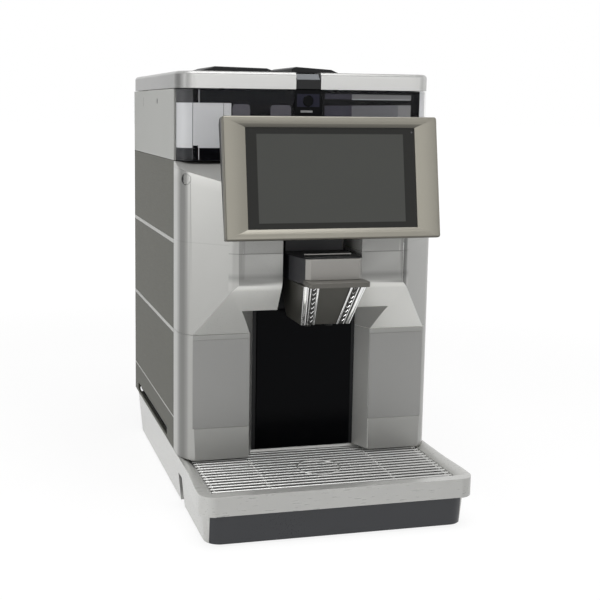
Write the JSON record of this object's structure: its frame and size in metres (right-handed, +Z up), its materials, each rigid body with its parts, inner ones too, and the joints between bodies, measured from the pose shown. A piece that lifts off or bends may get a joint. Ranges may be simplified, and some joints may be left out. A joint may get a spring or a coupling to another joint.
{
  "type": "bean-to-cup coffee machine",
  "caption": "Countertop bean-to-cup coffee machine with a hinged service door, tilted screen, height-adjustable spout, pull-out drip tray and hinged top lids.",
  "frame": {"origin": "middle of the footprint, on the table", "axes": "+Z up, +X to the right seen from the front, -Y towards the front"},
  "size_m": [0.3394, 0.52, 0.5553],
  "materials": {
    "silver_base": "satin",
    "silver_body": "satin",
    "grey_panel": "satin",
    "side_panel": "fine grain",
    "light_strip": "satin",
    "light_panel": "satin",
    "lid_silver": "satin",
    "tray_dark": "fine grain",
    "steel_wire": "polished",
    "rubber": "matt",
    "black_matte": "matt",
    "black_gloss": "gloss",
    "dark_grey": "matt",
    "bezel": "satin",
    "screen": "gloss",
    "smoked": "gloss",
    "spout_satin": "satin",
    "chrome": "polished",
    "dark_metallic": "metallic satin",
    "steel": "brushed",
    "hopper_grey": "satin",
    "tank_clear": "clear",
    "pcb": "satin",
    "inner_grey": "matt"
  },
  "bodies": {
    "base": {"base_frame": "silver_base", "rubber_feet": "rubber", "chassis": "inner_grey", "front_fascia": "black_matte", "side_panel_left": "side_panel", "side_panel_right": "side_panel", "side_strips": "light_strip", "upper_panel_left": "light_panel", "upper_panel_right": "light_panel", "rear_cover": "dark_grey", "power_inlet": "black_matte", "switch_frame": "black_matte", "hopper_shelf": "black_matte", "hopper_window_left": "smoked", "hopper_window_right": "smoked", "centre_panel": "black_gloss", "top_deck": "black_matte", "lid_hinge_pins": "steel", "centre_bridge": "black_gloss", "coffee_chute": "black_matte", "bean_hopper": "hopper_grey", "water_tank": "tank_clear", "brew_unit": "inner_grey", "grounds_container": "dark_grey", "grinder_housing": "inner_grey", "grinder_motor": "steel", "boiler": "steel", "boiler_pipe": "steel", "pump": "steel", "control_board": "pcb", "door_hinge_pins": "steel"},
    "door": {"door_frame": "dark_grey", "column_left": "silver_body", "column_right": "silver_body", "column_panels": "grey_panel", "door_head": "silver_body", "cavity_liner": "black_matte", "gloss_panel": "black_gloss", "display_bezel": "bezel", "display_glass": "screen", "display_back": "dark_grey", "display_bracket": "dark_grey"},
    "spout": {"spout_housing": "black_gloss", "spout_front_plate": "spout_satin", "spout_collar": "dark_grey", "spout_nose": "dark_metallic", "spout_nozzles": "dark_grey", "spout_chrome_left": "chrome", "spout_chrome_right": "chrome", "spout_slider": "black_matte"},
    "lock": {"lock_cylinder": "chrome"},
    "tray": {"drip_tray": "tray_dark"},
    "grille": {"drip_grille": "steel_wire"},
    "lid_left": {"left_lid": "lid_silver", "lid_insert": "black_matte"},
    "lid_right": {"right_lid": "lid_silver"},
    "flap": {"chute_flap": "black_matte"},
    "switch": {"power_switch": "black_matte"},
    "rotor": {"grinder_rotor": "steel"},
    "piston": {"brew_piston": "dark_grey"}
  },
  "joints": [
    {"name": "service_door", "type": "hinge", "parent": "base", "child": "door", "pos_m": [0.158, -0.08, 0.25], "axis": [0, 0, 1], "range_deg": [0, 92]},
    {"name": "spout_height", "type": "slide", "parent": "door", "child": "spout", "axis": [0, 0, 1], "range_m": [-0.092, 0]},
    {"name": "door_lock", "type": "hinge", "parent": "door", "child": "lock", "pos_m": [-0.158, -0.114, 0.4165], "axis": [1, 0, 0], "range_deg": [0, 90]},
    {"name": "tray_drawer", "type": "slide", "parent": "base", "child": "tray", "axis": [0, -1, 0], "range_m": [0, 0.2]},
    {"name": "grille_tilt", "type": "hinge", "parent": "base", "child": "grille", "pos_m": [0, -0.0913, 0.0572], "axis": [-1, 0, 0], "range_deg": [0, 6]},
    {"name": "left_lid_hinge", "type": "hinge", "parent": "base", "child": "lid_left", "pos_m": [-0.09, 0.247, 0.541], "axis": [-1, 0, 0], "range_deg": [0, 90]},
    {"name": "right_lid_hinge", "type": "hinge", "parent": "base", "child": "lid_right", "pos_m": [0.09, 0.247, 0.541], "axis": [-1, 0, 0], "range_deg": [0, 90]},
    {"name": "chute_flap_hinge", "type": "hinge", "parent": "base", "child": "flap", "pos_m": [0.015, 0.038, 0.5509], "axis": [-1, 0, 0], "range_deg": [0, 90]},
    {"name": "power_rocker", "type": "hinge", "parent": "base", "child": "switch", "pos_m": [0.04, 0.25, 0.096], "axis": [1, 0, 0], "range_deg": [-8, 0]},
    {"name": "grinder_spin", "type": "hinge", "parent": "base", "child": "rotor", "pos_m": [-0.095, 0.039, 0.4], "axis": [0, 0, 1], "continuous": true},
    {"name": "piston_stroke", "type": "slide", "parent": "base", "child": "piston", "axis": [0, 0, 1], "range_m": [-0.06, 0]}
  ]
}
